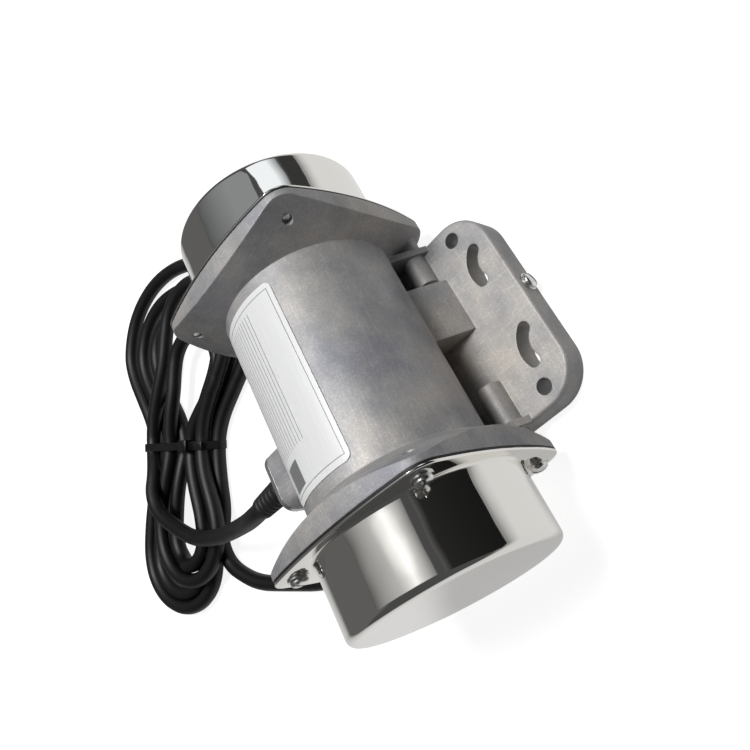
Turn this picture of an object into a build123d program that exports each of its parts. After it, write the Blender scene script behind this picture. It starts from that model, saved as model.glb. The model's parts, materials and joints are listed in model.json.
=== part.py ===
from build123d import *
import math
import os

# Electric vibration motor: a foot-mounted cast body, an out-of-balance rotor and two drawn end caps.
# X runs along the shaft, front (cable end) at +X. Z is up. The origin is the middle of the foot's lower face.

# Cast body
axis_height = 47.5
body_radius = 37.0
stator_bore_radius = 31.0
face_x = 57.5
flare_length = 11.0
flare_rim = 2.5
flange_land = 4.5
lobe_inset = 1.0
lobe_radius = 10.0
shield_seat_radius = 39.5
shield_flange_thickness = 5.0

# Foot
foot_length = 90.0
foot_width = 135.0
foot_thickness = 12.0
foot_corner_radius = 17.0
foot_edge_radius = 1.5
round_hole_radius = 3.3
round_hole_pitch_x = 74.4
round_hole_pitch_y = 105.6
slot_radius = 2.75
slot_chord = 13.2
slot_sag = 2.2
slot_skew = 3.5
slot_pitch_x = 40.5
slot_centre_y = 56.7
end_web_thickness = 3.0
web_reach = 41.6
web_root_angle = 33.0
block_start_x = -26.0
block_end_x = 0.0
screw_boss_radius = 5.2
screw_boss_inset = 1.0
rear_boss_end_x = -28.0
front_boss_end_x = 24.0

# Cable entry on the back of the body
entry_x = 16.0
entry_rise = 9.0
entry_height = axis_height + entry_rise
entry_bite = 4.0
entry_length = 26.0
entry_width = 18.0
entry_corner_radius = 6.0
entry_face_y = -43.5
clamp_thickness = 2.0
clamp_screw_pitch = 19.0
cord_radius = 4.25
bush_radius = 5.5
bush_flange_radius = 6.2
bush_nose = 7.0
bush_tip_wall = 0.8
bush_depth = 10.0
clamp_tapped_depth = 8.0

# Fasteners
m3_radius = 1.5
m3_head_radius = 2.75
m3_head_height = 2.0
m4_radius = 2.0
m5_radius = 2.5
tap_tail = 1.0
hole_play = 0.3

# Caps
cap_radius = 42.0
cap_length = 30.0
cap_end_radius = 3.0
cap_root_radius = 1.5
cap_screw_land = 6.4
sheet = 1.0
gasket_thickness = 0.8
washer_radius = 4.2
washer_thickness = 0.8
cap_head_radius = 3.5
cap_head_height = 2.8
cap_slot_width = 1.2
cap_slot_depth = 1.2
cap_screw_length = 9.0
tapped_depth = 12.0

# Stator and rotor
stator_centre_x = -8.0
winding_hub_gap = 3.0
slot_count = 24
stator_slot_depth = 8.0
stator_slot_width = 3.2
stator_tooth_gap = 1.0
stator_lip = 1.0
air_gap = 0.4
rotor_radius = 17.0
winding_inner_radius = 19.5
winding_outer_radius = 29.0
winding_depth = 13.0
winding_chamfer = 3.0
end_ring_thickness = 5.0
end_ring_inner_radius = 11.5
bar_count = 16
bar_depth = 4.0
bar_width = 2.0
bar_cover = 0.8

# Shaft, bearings and what they carry
shaft_core_radius = 10.0
shaft_seat_radius = 7.5
bearing_depth = 13.0
bearing_width = 11.0
bearing_outer_radius = 17.5
bearing_ring_wall = 3.0
bearing_seal_thickness = 1.0
seal_play = 0.1
hub_radius = 22.0
hub_lip_thickness = 1.5
hub_lip_radius = 14.0
spacer_wall = 3.0
weight_face_gap = 4.5
weight_thickness = 8.0
weight_gap = 0.4
weight_radius = 36.0
weight_hub_radius = 13.0
adjustable_bore_play = 0.03
clamp_slit = 2.0
key_width = 4.0
key_height = 3.0
circlip_thickness = 1.2
circlip_depth = 0.9
circlip_wall = 2.6
circlip_gap = 4.0
shaft_tail = 3.0
shaft_chamfer = 1.0
grub_play = 0.4
grub_socket = 2.5
grub_socket_depth = 2.5
shield_screw_ring_radius = 35.4
shield_screw_count = 3
shield_tapped_depth = 7.0
shield_spigot = 4.0

# Cord on the bench behind the motor: lead, tied hank and tail
hank_rear = (-126.35, -140.65)
hank_front = (-32.95, -194.9)
hank_rear_radius = 58.5
hank_front_radius = 45.5
hank_waist = (-74.9, -161.9)
hank_waist_half = 28.5
hank_layers = 2
tie_width = 5.0
tie_thickness = 1.2
tie_head = 7.0
tie_head_height = 3.5
tie_head_place = 8.0
tie_corner_radius = 2.0
cord_inner_end_y = -31.5
cord_bend_share = 0.45
lead_points = [
    (entry_x, cord_inner_end_y, entry_height),
    (entry_x, -62.0, entry_height),
    (12.5, -84.0, 49.0),
    (6.5, -104.0, 39.5),
    (-0.5, -124.0, 32.0),
    (-8.0, -144.0, 27.0),
    (-18.0, -163.0, 24.0),
    (-31.0, -180.0, 22.5),
    (-47.0, -189.5, 22.0),
    (-61.5, -190.5, 19.5),
    (-75.5, -187.0, 15.0),
]
tail_points = [
    (-14.6, -162.7, cord_radius),
    (-2.2, -161.5, cord_radius),
    (10.0, -154.8, cord_radius),
    (21.6, -145.4, cord_radius),
    (29.7, -134.0, cord_radius),
    (35.2, -121.0, cord_radius),
    (38.9, -110.5, cord_radius),
    (44.5, -95.0, cord_radius),
    (50.0, -81.0, cord_radius),
]
core_radius = 1.1
core_length = 26.0
core_spread = 1.5
core_splay = 5.0
core_rest_gap = 0.2
lead_wire_length = 3.1

# Nameplate and earth screw
plate_end_gap = 5.0
plate_thickness = 0.4
plate_centre_angle = 98.0
plate_half_angle = 29.0
earth_screw_x = -2.5
earth_screw_height = 5.6
earth_head_radius = 3.4
earth_head_height = 2.4
earth_washer_radius = 4.0
earth_washer_thickness = 0.8
earth_screw_length = 8.0
earth_tapped_depth = 10.0

os.makedirs("parts", exist_ok=True)

# Places along the shaft that follow the flange faces
flare_end_x = face_x - flare_rim
flare_start_x = flare_end_x - flare_length
bearing_start_x = face_x - bearing_depth
hub_start_x = bearing_start_x - hub_lip_thickness
weight_start_x = face_x + weight_face_gap
stator_length = 2 * (hub_start_x - winding_hub_gap - winding_depth + stator_centre_x)
plate_length = 2 * (flare_start_x - plate_end_gap)

shaft_axis = Axis((0, 0, axis_height), (1, 0, 0))
radial = Plane(origin=(0, 0, axis_height), x_dir=(1, 0, 0), z_dir=(0, -1, 0))


def across(x):
    """Section plane at x with its origin on the shaft line: local x is Y, local y is height."""
    return Plane(origin=(x, 0, axis_height), x_dir=(0, 1, 0), z_dir=(1, 0, 0))


def save(part, name):
    """Label a finished piece and write it under its own name."""
    part.label = name
    export_step(part, f"parts/{name}.step")
    return part


def save_pair(front_part, stem):
    """Write a piece of the front end and its mirror image at the rear end."""
    save(front_part, f"front_{stem}")
    save(mirror(front_part, about=Plane.YZ), f"rear_{stem}")


def spun(points):
    """Solid of revolution about the shaft line; points are (x, radius)."""
    with BuildPart() as piece:
        with BuildSketch(radial):
            with BuildLine():
                Polyline(*points, close=True)
            make_face()
        revolve(axis=shaft_axis)
    return piece.part


def tube(start, end, outer, inner):
    """Plain sleeve about the shaft line."""
    return spun([(start, inner), (end, inner), (end, outer), (start, outer)])


# Outline of the end flanges, gaskets and caps' sheet edges: a square with bulged sides and round corners
flange_half_side = cap_radius + flange_land
screw_offset = (cap_radius + cap_screw_land) / math.sqrt(2)
lobe_offset = screw_offset - lobe_inset
bulge_depth = flange_half_side - lobe_offset
bulge_radius = (bulge_depth**2 + lobe_offset**2 - lobe_radius**2) / (2 * (bulge_depth - lobe_radius))
lobe_share = lobe_radius / (bulge_radius - lobe_radius)
lobe_near = lobe_offset + (lobe_offset - flange_half_side + bulge_radius) * lobe_share
lobe_far = lobe_offset + lobe_offset * lobe_share
lobe_tip = lobe_offset + lobe_radius / math.sqrt(2)
lobe_points = [
    Vector(lobe_near, -lobe_far),
    Vector(flange_half_side, 0),
    Vector(lobe_near, lobe_far),
    Vector(lobe_tip, lobe_tip),
    Vector(lobe_far, lobe_near),
]
with BuildSketch() as flange_outline:
    with BuildLine():
        for quarter in range(4):
            turned = [point.rotate(Axis.Z, 90 * quarter) for point in lobe_points]
            ThreePointArc(*turned[:3])
            ThreePointArc(*turned[2:])
    make_face()

tip_radius = lobe_offset * math.sqrt(2) + lobe_radius
corner_spots = [(y, z) for y in (-screw_offset, screw_offset) for z in (-screw_offset, screw_offset)]

# Flange flare: the lobed prism cut back by a cone that springs from the body
with BuildPart() as flare:
    with BuildSketch(across(flare_start_x)):
        add(flange_outline.sketch)
    extrude(amount=face_x - flare_start_x)
    with BuildSketch(radial):
        with BuildLine():
            Polyline(
                (flare_start_x, 0),
                (flare_start_x, body_radius),
                (flare_end_x, tip_radius),
                (face_x, tip_radius),
                (face_x, 0),
                close=True,
            )
        make_face()
    revolve(axis=shaft_axis, mode=Mode.INTERSECT)

rear_flare = mirror(flare.part, about=Plane.YZ)

shield_face_x = face_x - shield_flange_thickness
foot_level = foot_thickness - axis_height
screw_drop = -screw_offset
screw_boss_y = screw_offset - screw_boss_inset
entry_root = stator_bore_radius - entry_bite
earth_plane = Plane(origin=(earth_screw_x, foot_width / 2, earth_screw_height), x_dir=(1, 0, 0), z_dir=(0, 1, 0))
entry_plane = Plane(origin=(entry_x, 0, entry_height), x_dir=(1, 0, 0), z_dir=(0, -1, 0))

stator_bore_inner = rotor_radius + air_gap

# Kidney slot of the foot about its own middle, hollow side outwards
slot_lean = math.asin(slot_skew / slot_chord)
slot_half = Vector(slot_chord / 2, 0).rotate(Axis.Z, -math.degrees(slot_lean))
slot_sag_point = Vector(0, -slot_sag).rotate(Axis.Z, -math.degrees(slot_lean))
with BuildSketch() as foot_slot:
    with BuildLine(mode=Mode.PRIVATE) as slot_line:
        ThreePointArc(-slot_half, slot_sag_point, slot_half)
    SlotArc(slot_line.line.edge(), 2 * slot_radius)
back_slot = mirror(foot_slot.sketch, about=Plane.XZ)

# Section of the webs under the barrel: straight flanks from the barrel's lower half out to the foot
web_root = Vector(body_radius, 0).rotate(Axis.Z, -web_root_angle)
with BuildSketch() as web_outline:
    with BuildLine():
        Polyline(
            (web_root.X, web_root.Y),
            (-web_root.X, web_root.Y),
            (-web_reach, foot_level),
            (web_reach, foot_level),
            close=True,
        )
    make_face()

with BuildPart() as motor_housing:
    with BuildSketch(Plane.XY):
        RectangleRounded(foot_length, foot_width, foot_corner_radius)
    extrude(amount=foot_thickness)
    fillet(motor_housing.edges().group_by(Axis.Z)[-1], foot_edge_radius)
    with BuildSketch(across(-flare_start_x)):
        Circle(body_radius)
    extrude(amount=2 * flare_start_x)
    add(flare.part)
    add(rear_flare)
    # Webs between the barrel and the foot
    for start, end in (
        (-foot_length / 2, -foot_length / 2 + end_web_thickness),
        (block_start_x, block_end_x),
        (foot_length / 2 - end_web_thickness, foot_length / 2),
    ):
        with BuildSketch(across(start)):
            add(web_outline.sketch)
        extrude(amount=end - start)
    # Bosses for the two lower cap screws of each end, half sunk in the foot
    for start, end in ((-face_x, rear_boss_end_x), (front_boss_end_x, face_x)):
        with BuildSketch(across(start)):
            with Locations((-screw_boss_y, screw_drop), (screw_boss_y, screw_drop)):
                Circle(screw_boss_radius)
        extrude(amount=end - start)
    # Cable entry boss
    with BuildSketch(entry_plane.offset(entry_root)):
        RectangleRounded(entry_length, entry_width, entry_corner_radius)
    extrude(amount=-entry_face_y - entry_root)
    # Barrel bore and the seats of the bearing shields
    with BuildSketch(across(-face_x)):
        Circle(stator_bore_radius)
    extrude(amount=2 * face_x, mode=Mode.SUBTRACT)
    for start in (-face_x, shield_face_x):
        with BuildSketch(across(start)):
            Circle(shield_seat_radius)
        extrude(amount=shield_flange_thickness, mode=Mode.SUBTRACT)
    # Tapped holes of the caps, run out through the thin upper lobes and blind in the lower bosses
    for start in (-face_x, face_x - tapped_depth):
        with BuildSketch(across(start)):
            with Locations(*corner_spots):
                Circle(m4_radius)
        extrude(amount=tapped_depth, mode=Mode.SUBTRACT)
    # Tapped holes of the bearing shields
    for start in (-shield_face_x, shield_face_x - shield_tapped_depth):
        with BuildSketch(across(start)):
            with PolarLocations(shield_screw_ring_radius, shield_screw_count, start_angle=90):
                Circle(m3_radius)
        extrude(amount=shield_tapped_depth, mode=Mode.SUBTRACT)
    # Round holes and kidney slots of the foot
    with BuildSketch(Plane.XY):
        with GridLocations(round_hole_pitch_x, round_hole_pitch_y, 2, 2):
            Circle(round_hole_radius)
        with Locations((-slot_pitch_x / 2, slot_centre_y), (slot_pitch_x / 2, slot_centre_y)):
            add(foot_slot.sketch)
        with Locations((-slot_pitch_x / 2, -slot_centre_y), (slot_pitch_x / 2, -slot_centre_y)):
            add(back_slot)
    extrude(amount=foot_thickness, mode=Mode.SUBTRACT)
    # Earth screw hole in the long edge of the foot
    with BuildSketch(earth_plane):
        Circle(m4_radius)
    extrude(amount=-earth_tapped_depth, mode=Mode.SUBTRACT)
    # Cable way through the boss and the screw holes of its clamp
    with BuildSketch(entry_plane.offset(-entry_face_y)):
        Circle(bush_radius)
    extrude(amount=entry_face_y + entry_root, mode=Mode.SUBTRACT)
    with BuildSketch(entry_plane.offset(-entry_face_y)):
        with GridLocations(clamp_screw_pitch, 0, 2, 1):
            Circle(m3_radius)
    extrude(amount=-clamp_tapped_depth, mode=Mode.SUBTRACT)
save(motor_housing.part, "motor_housing")

# Nameplate: a thin bare plate bent round the barrel
plate_angle = math.radians(plate_centre_angle - plate_half_angle)
plate_plane = Plane(
    origin=(0, 0, axis_height), x_dir=(1, 0, 0), z_dir=(0, -math.sin(plate_angle), math.cos(plate_angle))
)
with BuildPart() as nameplate:
    with BuildSketch(plate_plane):
        with Locations((0, body_radius + plate_thickness / 2)):
            Rectangle(plate_length, plate_thickness)
    revolve(axis=shaft_axis, revolution_arc=2 * plate_half_angle)
save(nameplate.part, "nameplate")

# Earth screw and its washer on the foot's long edge
with BuildPart() as earth_washer:
    with BuildSketch(earth_plane):
        Circle(earth_washer_radius)
        Circle(m4_radius, mode=Mode.SUBTRACT)
    extrude(amount=earth_washer_thickness)
save(earth_washer.part, "earth_washer")

with BuildPart() as earth_screw:
    with BuildSketch(earth_plane.offset(earth_washer_thickness)):
        Circle(earth_head_radius)
    extrude(amount=earth_head_height)
    with BuildSketch(earth_plane.offset(earth_washer_thickness)):
        Circle(m4_radius)
    extrude(amount=-earth_screw_length)
save(earth_screw.part, "earth_screw")

# Cable clamp plate, its screws and the rubber bush
with BuildPart() as cable_clamp:
    with BuildSketch(entry_plane.offset(-entry_face_y)):
        RectangleRounded(entry_length, entry_width, entry_corner_radius)
        Circle(bush_radius, mode=Mode.SUBTRACT)
        with GridLocations(clamp_screw_pitch, 0, 2, 1):
            Circle(m3_radius, mode=Mode.SUBTRACT)
    extrude(amount=clamp_thickness)
save(cable_clamp.part, "cable_clamp")

clamp_face = entry_plane.offset(-entry_face_y + clamp_thickness)
with BuildPart() as cable_clamp_screws:
    with BuildSketch(clamp_face):
        with GridLocations(clamp_screw_pitch, 0, 2, 1):
            Circle(m3_head_radius)
    extrude(amount=m3_head_height)
    with BuildSketch(clamp_face):
        with GridLocations(clamp_screw_pitch, 0, 2, 1):
            Circle(m3_radius)
    extrude(amount=-clamp_thickness - clamp_tapped_depth + tap_tail)
save(cable_clamp_screws.part, "cable_clamp_screws")

with BuildPart() as cable_bush:
    with BuildSketch(clamp_face):
        Circle(bush_flange_radius)
    with BuildSketch(clamp_face.offset(bush_nose)):
        Circle(cord_radius + bush_tip_wall)
    loft()
    with BuildSketch(clamp_face):
        Circle(bush_radius)
    extrude(amount=-clamp_thickness - bush_depth)
    with BuildSketch(clamp_face.offset(bush_nose)):
        Circle(cord_radius)
    extrude(amount=-bush_nose - clamp_thickness - bush_depth, mode=Mode.SUBTRACT)
save(cable_bush.part, "cable_bush")

# Stator: slotted core and its winding
slot_outer = stator_bore_inner + stator_lip + stator_slot_depth
with BuildPart() as stator_core:
    with BuildSketch(across(stator_centre_x - stator_length / 2)):
        Circle(stator_bore_radius)
        Circle(stator_bore_inner, mode=Mode.SUBTRACT)
        with PolarLocations(stator_bore_inner + stator_lip + stator_slot_depth / 2, slot_count):
            Rectangle(stator_slot_depth, stator_slot_width, mode=Mode.SUBTRACT)
        with PolarLocations(stator_bore_inner + stator_lip / 2, slot_count):
            Rectangle(2 * stator_lip, stator_tooth_gap, mode=Mode.SUBTRACT)
    extrude(amount=stator_length)
save(stator_core.part, "stator_core")

stator_front_x = stator_centre_x + stator_length / 2
stator_rear_x = stator_centre_x - stator_length / 2
with BuildPart() as stator_winding:
    with BuildSketch(across(stator_rear_x)):
        with PolarLocations(stator_bore_inner + stator_lip + stator_slot_depth / 2, slot_count):
            Rectangle(stator_slot_depth, stator_slot_width)
    extrude(amount=stator_length)
    for root, outwards in ((stator_front_x, 1), (stator_rear_x, -1)):
        tip = root + outwards * winding_depth
        lean = outwards * winding_chamfer
        with BuildSketch(radial):
            with BuildLine():
                Polyline(
                    (root, winding_inner_radius),
                    (root, winding_outer_radius - winding_chamfer),
                    (root + lean, winding_outer_radius),
                    (tip - lean, winding_outer_radius),
                    (tip, winding_outer_radius - winding_chamfer),
                    (tip, winding_inner_radius),
                    close=True,
                )
            make_face()
        revolve(axis=shaft_axis)
save(stator_winding.part, "stator_winding")

# Lead wires from the front winding head to the inner end of the cord
wire_plane = entry_plane.offset(-cord_inner_end_y)
with BuildPart() as lead_wires:
    with BuildSketch(wire_plane):
        with GridLocations(2 * core_spread, 2 * core_spread, 2, 2):
            Circle(core_radius)
    extrude(amount=-lead_wire_length)
save(lead_wires.part, "lead_wires")

# Rotor: core with a cast squirrel cage
bar_circle = rotor_radius - bar_cover - bar_depth / 2
with BuildPart() as rotor_core:
    with BuildSketch(across(stator_rear_x)):
        Circle(rotor_radius)
        Circle(shaft_core_radius, mode=Mode.SUBTRACT)
        with PolarLocations(bar_circle, bar_count):
            Rectangle(bar_depth, bar_width, mode=Mode.SUBTRACT)
    extrude(amount=stator_length)
save(rotor_core.part, "rotor_core")

with BuildPart() as rotor_cage:
    with BuildSketch(across(stator_rear_x)):
        with PolarLocations(bar_circle, bar_count):
            Rectangle(bar_depth, bar_width)
    extrude(amount=stator_length)
    for start in (stator_rear_x - end_ring_thickness, stator_rear_x + stator_length):
        with BuildSketch(across(start)):
            Circle(rotor_radius - bar_cover)
            Circle(end_ring_inner_radius, mode=Mode.SUBTRACT)
        extrude(amount=end_ring_thickness)
save(rotor_cage.part, "rotor_cage")

# Places along the shaft, counted outwards from the bearing
bearing_end_x = bearing_start_x + bearing_width
fixed_weight_x = weight_start_x
adjustable_weight_x = fixed_weight_x + weight_thickness + weight_gap
circlip_x = adjustable_weight_x + weight_thickness + weight_gap
shaft_end_x = circlip_x + circlip_thickness + shaft_tail

with BuildPart() as shaft:
    with BuildSketch(radial):
        with BuildLine():
            Polyline(
                (-shaft_end_x, 0),
                (-shaft_end_x, shaft_seat_radius),
                (-bearing_start_x, shaft_seat_radius),
                (-bearing_start_x, shaft_core_radius),
                (bearing_start_x, shaft_core_radius),
                (bearing_start_x, shaft_seat_radius),
                (shaft_end_x, shaft_seat_radius),
                (shaft_end_x, 0),
                close=True,
            )
        make_face()
    revolve(axis=shaft_axis)
    chamfer(shaft.edges().group_by(Axis.X)[0] + shaft.edges().group_by(Axis.X)[-1], shaft_chamfer)
    for start in (circlip_x, -circlip_x - circlip_thickness):
        with BuildSketch(across(start)):
            Circle(shaft_seat_radius)
            Circle(shaft_seat_radius - circlip_depth, mode=Mode.SUBTRACT)
        extrude(amount=circlip_thickness, mode=Mode.SUBTRACT)
    for start in (fixed_weight_x, -fixed_weight_x - weight_thickness):
        with BuildSketch(across(start)):
            with Locations((0, shaft_seat_radius)):
                Rectangle(key_width, key_height)
        extrude(amount=weight_thickness, mode=Mode.SUBTRACT)
save(shaft.part, "shaft")

# Bearing shield: a disc seated in the flange, with the bearing's hub on its inner side
with BuildPart() as bearing_shield:
    with BuildSketch(radial):
        with BuildLine():
            Polyline(
                (hub_start_x, hub_lip_radius),
                (bearing_start_x, hub_lip_radius),
                (bearing_start_x, bearing_outer_radius),
                (face_x, bearing_outer_radius),
                (face_x, shield_seat_radius),
                (shield_face_x, shield_seat_radius),
                (shield_face_x, stator_bore_radius),
                (shield_face_x - shield_spigot, stator_bore_radius),
                (shield_face_x - shield_spigot, hub_radius),
                (hub_start_x, hub_radius),
                close=True,
            )
        make_face()
    revolve(axis=shaft_axis)
    with BuildSketch(across(shield_face_x)):
        with PolarLocations(shield_screw_ring_radius, shield_screw_count, start_angle=90):
            Circle(m3_radius)
    extrude(amount=shield_flange_thickness, mode=Mode.SUBTRACT)
save_pair(bearing_shield.part, "bearing_shield")

with BuildPart() as shield_screws:
    with BuildSketch(across(face_x)):
        with PolarLocations(shield_screw_ring_radius, shield_screw_count, start_angle=90):
            Circle(m3_head_radius)
    extrude(amount=m3_head_height)
    with BuildSketch(across(face_x)):
        with PolarLocations(shield_screw_ring_radius, shield_screw_count, start_angle=90):
            Circle(m3_radius)
    extrude(amount=-shield_flange_thickness - shield_tapped_depth + tap_tail)
save_pair(shield_screws.part, "shield_screws")

# Sealed bearing: two rings and the seals between them
inner_ring_radius = shaft_seat_radius + bearing_ring_wall
outer_ring_radius = bearing_outer_radius - bearing_ring_wall
save_pair(tube(bearing_start_x, bearing_end_x, bearing_outer_radius, outer_ring_radius), "bearing_outer_ring")
save_pair(tube(bearing_start_x, bearing_end_x, inner_ring_radius, shaft_seat_radius), "bearing_inner_ring")
with BuildPart() as bearing_seals:
    for start in (bearing_start_x, bearing_end_x - bearing_seal_thickness):
        with BuildSketch(across(start)):
            Circle(outer_ring_radius)
            Circle(inner_ring_radius + seal_play, mode=Mode.SUBTRACT)
        extrude(amount=bearing_seal_thickness)
save_pair(bearing_seals.part, "bearing_seals")

# What the shaft end carries: spacer, keyed weight, clamped weight and circlip
save_pair(tube(bearing_end_x, fixed_weight_x, shaft_seat_radius + spacer_wall, shaft_seat_radius), "spacer")

with BuildSketch() as weight_outline:
    Circle(weight_radius)
    with Locations((0, weight_radius / 2)):
        Rectangle(2 * weight_radius, weight_radius, mode=Mode.SUBTRACT)
    Circle(weight_hub_radius)

with BuildPart() as fixed_weight:
    with BuildSketch(across(fixed_weight_x)):
        add(weight_outline.sketch)
        Circle(shaft_seat_radius, mode=Mode.SUBTRACT)
        with Locations((0, shaft_seat_radius)):
            Rectangle(key_width, key_height, mode=Mode.SUBTRACT)
    extrude(amount=weight_thickness)
save_pair(fixed_weight.part, "fixed_weight")

with BuildPart() as key:
    with BuildSketch(across(fixed_weight_x)):
        with Locations((0, shaft_seat_radius)):
            Rectangle(key_width, key_height)
    extrude(amount=weight_thickness)
save_pair(key.part, "key")

adjustable_mid_x = adjustable_weight_x + weight_thickness / 2
grub_plane = Plane(origin=(adjustable_mid_x, 0, axis_height), x_dir=(1, 0, 0), z_dir=(0, 0, 1))
grub_foot = shaft_seat_radius + grub_play
with BuildPart() as adjustable_weight:
    with BuildSketch(across(adjustable_weight_x)):
        add(weight_outline.sketch)
        Circle(shaft_seat_radius + adjustable_bore_play, mode=Mode.SUBTRACT)
    extrude(amount=weight_thickness)
    with BuildSketch(grub_plane):
        Circle(m5_radius)
    extrude(amount=weight_hub_radius, mode=Mode.SUBTRACT)
save_pair(adjustable_weight.part, "adjustable_weight")

with BuildPart() as grub_screw:
    with BuildSketch(grub_plane.offset(grub_foot)):
        Circle(m5_radius)
    extrude(amount=weight_hub_radius - grub_foot)
    with BuildSketch(grub_plane.offset(weight_hub_radius)):
        RegularPolygon(grub_socket / 2, 6, major_radius=False)
    extrude(amount=-grub_socket_depth, mode=Mode.SUBTRACT)
save_pair(grub_screw.part, "grub_screw")

with BuildPart() as circlip:
    with BuildSketch(across(circlip_x)):
        Circle(shaft_seat_radius + circlip_wall - circlip_depth)
        Circle(shaft_seat_radius - circlip_depth, mode=Mode.SUBTRACT)
        with Locations((0, shaft_seat_radius)):
            Rectangle(circlip_gap, 2 * circlip_wall, mode=Mode.SUBTRACT)
    extrude(amount=circlip_thickness)
save_pair(circlip.part, "circlip")

# Gasket, drawn cap and screws of an end
gasket_x = face_x + gasket_thickness
cap_face_x = gasket_x + sheet
cap_end_x = cap_face_x + cap_length
with BuildPart() as cap_gasket:
    with BuildSketch(across(face_x)):
        add(flange_outline.sketch)
        Circle(cap_radius - sheet, mode=Mode.SUBTRACT)
        with Locations(*corner_spots):
            Circle(m4_radius + hole_play, mode=Mode.SUBTRACT)
    extrude(amount=gasket_thickness)
save_pair(cap_gasket.part, "cap_gasket")

with BuildPart() as cap:
    with BuildSketch(across(gasket_x)):
        add(flange_outline.sketch)
        with Locations(*corner_spots):
            Circle(m4_radius + hole_play, mode=Mode.SUBTRACT)
    extrude(amount=sheet)
    with BuildSketch(across(gasket_x)):
        Circle(cap_radius)
    extrude(amount=sheet + cap_length)
    fillet(cap.edges().group_by(Axis.X)[-1], cap_end_radius)
    closed_edges = cap.edges().filter_by(lambda edge: edge.is_closed)
    root_edges = closed_edges.filter_by_position(Axis.X, cap_face_x, cap_face_x)
    fillet(root_edges.sort_by(SortBy.LENGTH)[-1], cap_root_radius)
    with BuildSketch(across(gasket_x)):
        Circle(cap_radius - sheet)
    extrude(amount=cap_length - cap_end_radius + sheet, mode=Mode.SUBTRACT)
    with BuildSketch(across(cap_end_x - cap_end_radius)):
        Circle(cap_radius - sheet)
    extrude(amount=cap_end_radius - sheet, taper=45, mode=Mode.SUBTRACT)
save_pair(cap.part, "cap")

washer_face_x = cap_face_x + washer_thickness
with BuildPart() as cap_washers:
    with BuildSketch(across(cap_face_x)):
        with Locations(*corner_spots):
            Circle(washer_radius)
            Circle(m4_radius, mode=Mode.SUBTRACT)
    extrude(amount=washer_thickness)
save_pair(cap_washers.part, "cap_washers")

with BuildPart() as cap_screws:
    with BuildSketch(across(washer_face_x)):
        with Locations(*corner_spots):
            Circle(cap_head_radius)
    extrude(amount=cap_head_height)
    with BuildSketch(across(washer_face_x)):
        with Locations(*corner_spots):
            Circle(m4_radius)
    extrude(amount=-cap_screw_length)
    with BuildSketch(across(washer_face_x + cap_head_height)):
        with Locations(*corner_spots):
            Rectangle(2 * cap_head_radius, cap_slot_width)
    extrude(amount=-cap_slot_depth, mode=Mode.SUBTRACT)
save_pair(cap_screws.part, "cap_screws")


def cord_tube(points, name):
    """Round cord along straight runs joined by arcs as large as the runs allow."""
    runs = [Vector(*b) - Vector(*a) for a, b in zip(points, points[1:])]
    radii = []
    for before, after in zip(runs, runs[1:]):
        half_turn = math.radians(before.get_angle(after)) / 2
        radii.append(cord_bend_share * min(before.length, after.length) / math.tan(half_turn))
    with BuildPart() as piece:
        with BuildLine() as path:
            FilletPolyline(*points, radius=radii)
        with BuildSketch(Plane(origin=points[0], z_dir=runs[0])):
            Circle(cord_radius)
        sweep()
    length = path.wire().length
    share = piece.part.volume / (length * math.pi * cord_radius**2)
    print(name, "length", round(length), "volume share", round(share, 4), "radii", [round(r) for r in radii])
    return save(piece.part, name)


cord_lead = cord_tube(lead_points, "cord_lead")
cord_tail = cord_tube(tail_points, "cord_tail")

# Hank: the flat bundle of turns, waisted where the tie holds it
rear_centre = Vector(*hank_rear)
front_centre = Vector(*hank_front)
waist_centre = Vector(*hank_waist)
run_dir = (front_centre - rear_centre).normalized()
side_dir = run_dir.rotate(Axis.Z, 90)
hank_height = 2 * cord_radius * hank_layers
waist_plane = Plane(origin=waist_centre - run_dir * tie_width / 2, x_dir=side_dir, z_dir=run_dir)
with BuildPart() as cable_tie:
    with BuildSketch(waist_plane):
        with Locations((0, (hank_height + tie_thickness) / 2)):
            RectangleRounded(2 * (hank_waist_half + tie_thickness), hank_height + tie_thickness, tie_corner_radius)
        with Locations((0, (hank_height + tie_thickness) / 2)):
            Rectangle(2 * hank_waist_half, hank_height - tie_thickness, mode=Mode.SUBTRACT)
        with Locations((tie_head_place, hank_height + tie_thickness + tie_head_height / 2)):
            Rectangle(tie_head, tie_head_height)
    extrude(amount=tie_width)
save(cable_tie.part, "cable_tie")
with BuildPart() as cord_hank:
    with BuildSketch(Plane.XY):
        with BuildLine():
            ThreePointArc(
                rear_centre + side_dir * hank_rear_radius,
                rear_centre - run_dir * hank_rear_radius,
                rear_centre - side_dir * hank_rear_radius,
            )
            ThreePointArc(
                front_centre + side_dir * hank_front_radius,
                front_centre + run_dir * hank_front_radius,
                front_centre - side_dir * hank_front_radius,
            )
            for side in (-1, 1):
                ThreePointArc(
                    rear_centre + side_dir * side * hank_rear_radius,
                    waist_centre + side_dir * side * hank_waist_half,
                    front_centre + side_dir * side * hank_front_radius,
                )
        make_face()
    extrude(amount=hank_height)
    add(cable_tie.part, mode=Mode.SUBTRACT)
save(cord_hank.part, "cord_hank")

# Bare conductors fanned out past the end of the tail
tail_end = Vector(*tail_points[-1])
tail_dir = (tail_end - Vector(*tail_points[-2])).normalized()
tail_side = tail_dir.rotate(Axis.Z, 90)
with BuildPart() as cord_cores:
    for across_place, up_place, fan in ((-1, 1, -1.5), (-1, -1, -0.5), (1, -1, 0.5), (1, 1, 1.5)):
        root = tail_end + tail_side * across_place * core_spread + Vector(0, 0, up_place * core_spread)
        drop = root.Z - core_radius - core_rest_gap
        tip = root + tail_dir * core_length + tail_side * fan * core_splay - Vector(0, 0, drop)
        with BuildSketch(Plane(origin=root, z_dir=tip - root)):
            Circle(core_radius)
        extrude(amount=(tip - root).length)
save(cord_cores.part, "cord_cores")
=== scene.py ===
import json
import math

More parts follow.
